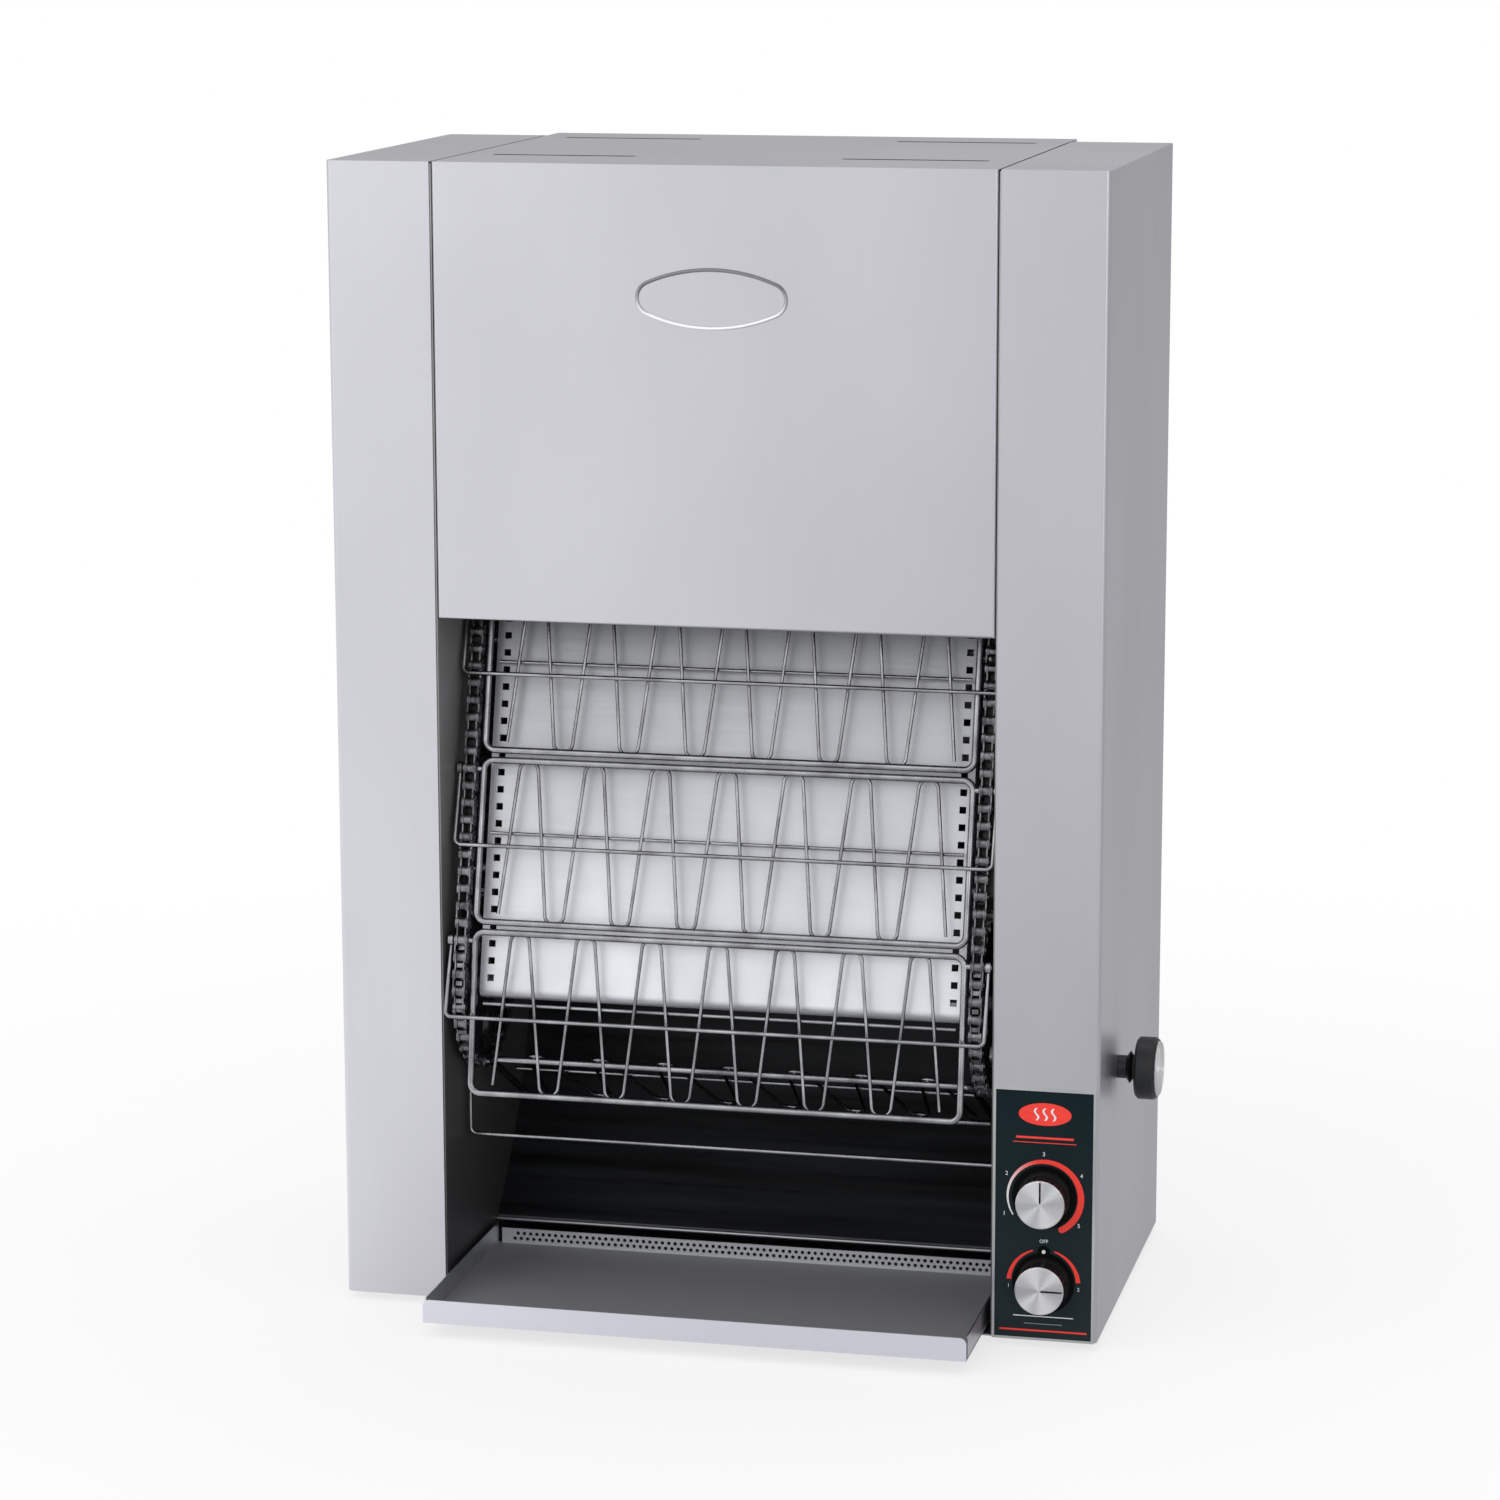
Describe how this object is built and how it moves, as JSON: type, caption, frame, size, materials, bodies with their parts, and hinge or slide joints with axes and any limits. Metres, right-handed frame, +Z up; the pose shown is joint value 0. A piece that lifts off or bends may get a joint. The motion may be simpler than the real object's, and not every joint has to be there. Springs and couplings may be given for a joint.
{
  "type": "vertical conveyor toaster",
  "caption": "Upright steel conveyor toaster: leaning chain carries wire baskets up past heaters, a chute drops toast into a pull-out tray, dials sit on one column.",
  "frame": {"origin": "middle of the whole outline's footprint, on the surface that the feet stand on", "axes": "+Z up, -Y towards the user in front of the loading bay, +X to the user's right where the controls are"},
  "size_m": [0.5994, 0.4204, 0.851],
  "materials": {
    "housing_steel": "vertically brushed",
    "inner_steel": "dull, heat worn",
    "chute_steel": "dark, toast worn",
    "reflector": "satin",
    "tray_steel": "satin",
    "bright_steel": "turned",
    "basket_wire": "bright drawn wire",
    "chain_steel": "oiled",
    "gear_brass": "machined",
    "drive_case": "as cast",
    "panel_face": "printed film",
    "panel_frame": "satin",
    "knob_black": "moulded",
    "knob_cap": "spun",
    "control_case": "moulded",
    "ceramic": "glazed ceramic",
    "heater_sheath": "heat darkened",
    "rubber": "matte"
  },
  "bodies": {
    "frame": {"left_column": "housing_steel", "right_column": "housing_steel", "left_inner_wall": "inner_steel", "right_inner_wall": "inner_steel", "front_cover": "housing_steel", "top_cover": "housing_steel", "back_cover": "housing_steel", "base_pan": "inner_steel", "feet": "rubber", "tie_rods": "bright_steel", "reflector_plate": "reflector", "toast_chute": "chute_steel", "chain_guides": "bright_steel", "panel_frame": "panel_frame", "control_panel": "panel_face", "speed_control": "control_case", "mode_switch": "control_case", "gearbox": "drive_case", "motor": "drive_case", "shaft_bearings": "gear_brass", "front_heaters": "heater_sheath", "middle_heaters": "heater_sheath", "rear_heaters": "heater_sheath", "heater_insulators": "ceramic", "terminal_block": "control_case", "cord_gland": "rubber", "cover_screws": "bright_steel"},
    "lower_drive": {"lower_shaft": "bright_steel", "lower_sprockets": "chain_steel", "drive_gear": "gear_brass", "lower_chains": "chain_steel", "basket_10": "basket_wire"},
    "upper_drive": {"upper_shaft": "bright_steel", "upper_sprockets": "chain_steel", "upper_chains": "chain_steel", "basket_05": "basket_wire"},
    "front_run": {"front_chains": "chain_steel", "basket_01": "basket_wire", "basket_02": "basket_wire", "basket_03": "basket_wire", "basket_04": "basket_wire"},
    "rear_run": {"rear_chains": "chain_steel", "basket_06": "basket_wire", "basket_07": "basket_wire", "basket_08": "basket_wire", "basket_09": "basket_wire"},
    "advance": {"advance_knob": "knob_black", "advance_knob_cap": "knob_cap", "output_shaft": "bright_steel", "drive_pinion": "gear_brass"},
    "speed_dial": {"speed_knob": "knob_black", "speed_knob_cap": "knob_cap"},
    "mode_dial": {"mode_knob": "knob_black", "mode_knob_cap": "knob_cap"},
    "tray": {"toast_tray": "tray_steel"},
    "gate_01": {"retainer_01": "basket_wire"},
    "gate_02": {"retainer_02": "basket_wire"},
    "gate_03": {"retainer_03": "basket_wire"},
    "gate_10": {"retainer_10": "basket_wire"}
  },
  "joints": [
    {"name": "conveyor_drive", "type": "hinge", "parent": "frame", "child": "lower_drive", "pos_m": [0, -0.0684, 0.2396], "axis": [-1, 0, 0], "range_deg": [-22.4, 22.4]},
    {"name": "upper_turn", "type": "hinge", "parent": "frame", "child": "upper_drive", "pos_m": [0, 0.0324, 0.65947], "axis": [-1, 0, 0], "range_deg": [-22.5, 22.5]},
    {"name": "front_travel", "type": "slide", "parent": "frame", "child": "front_run", "axis": [0, 0.2334, 0.9724], "range_m": [-0.0254, 0.0254]},
    {"name": "rear_travel", "type": "slide", "parent": "frame", "child": "rear_run", "axis": [0, -0.2334, -0.9724], "range_m": [-0.0254, 0.0254]},
    {"name": "advance_turn", "type": "hinge", "parent": "frame", "child": "advance", "pos_m": [0, -0.04286, 0.18948], "axis": [1, 0, 0], "range_deg": [-90, 90]},
    {"name": "speed_turn", "type": "hinge", "parent": "frame", "child": "speed_dial", "pos_m": [0.22935, -0.1352, 0.114], "axis": [0, -1, 0], "range_deg": [-135, 135]},
    {"name": "mode_turn", "type": "hinge", "parent": "frame", "child": "mode_dial", "pos_m": [0.22935, -0.1352, 0.0495], "axis": [0, -1, 0], "range_deg": [0, 180]},
    {"name": "tray_slide", "type": "slide", "parent": "frame", "child": "tray", "axis": [0, -1, 0], "range_m": [0, 0.18]},
    {"name": "gate_01_swing", "type": "hinge", "parent": "front_run", "child": "gate_01", "pos_m": [0, -0.12546, 0.27942], "axis": [-1, 0, 0], "range_deg": [0, 60]},
    {"name": "gate_02_swing", "type": "hinge", "parent": "front_run", "child": "gate_02", "pos_m": [0, -0.09582, 0.40291], "axis": [-1, 0, 0], "range_deg": [0, 60]},
    {"name": "gate_03_swing", "type": "hinge", "parent": "front_run", "child": "gate_03", "pos_m": [0, -0.06617, 0.5264], "axis": [-1, 0, 0], "range_deg": [0, 47]},
    {"name": "gate_10_swing", "type": "hinge", "parent": "lower_drive", "child": "gate_10", "pos_m": [0, -0.08352, 0.17661], "axis": [-1, 0, 0], "range_deg": [-50, 25]}
  ],
  "couplings": [
    {"joint": "upper_turn", "follows": "conveyor_drive", "ratio": 1},
    {"joint": "front_travel", "follows": "conveyor_drive", "m_per_rad": 0.064785},
    {"joint": "rear_travel", "follows": "conveyor_drive", "m_per_rad": 0.064785},
    {"joint": "advance_turn", "follows": "conveyor_drive", "ratio": 4}
  ]
}
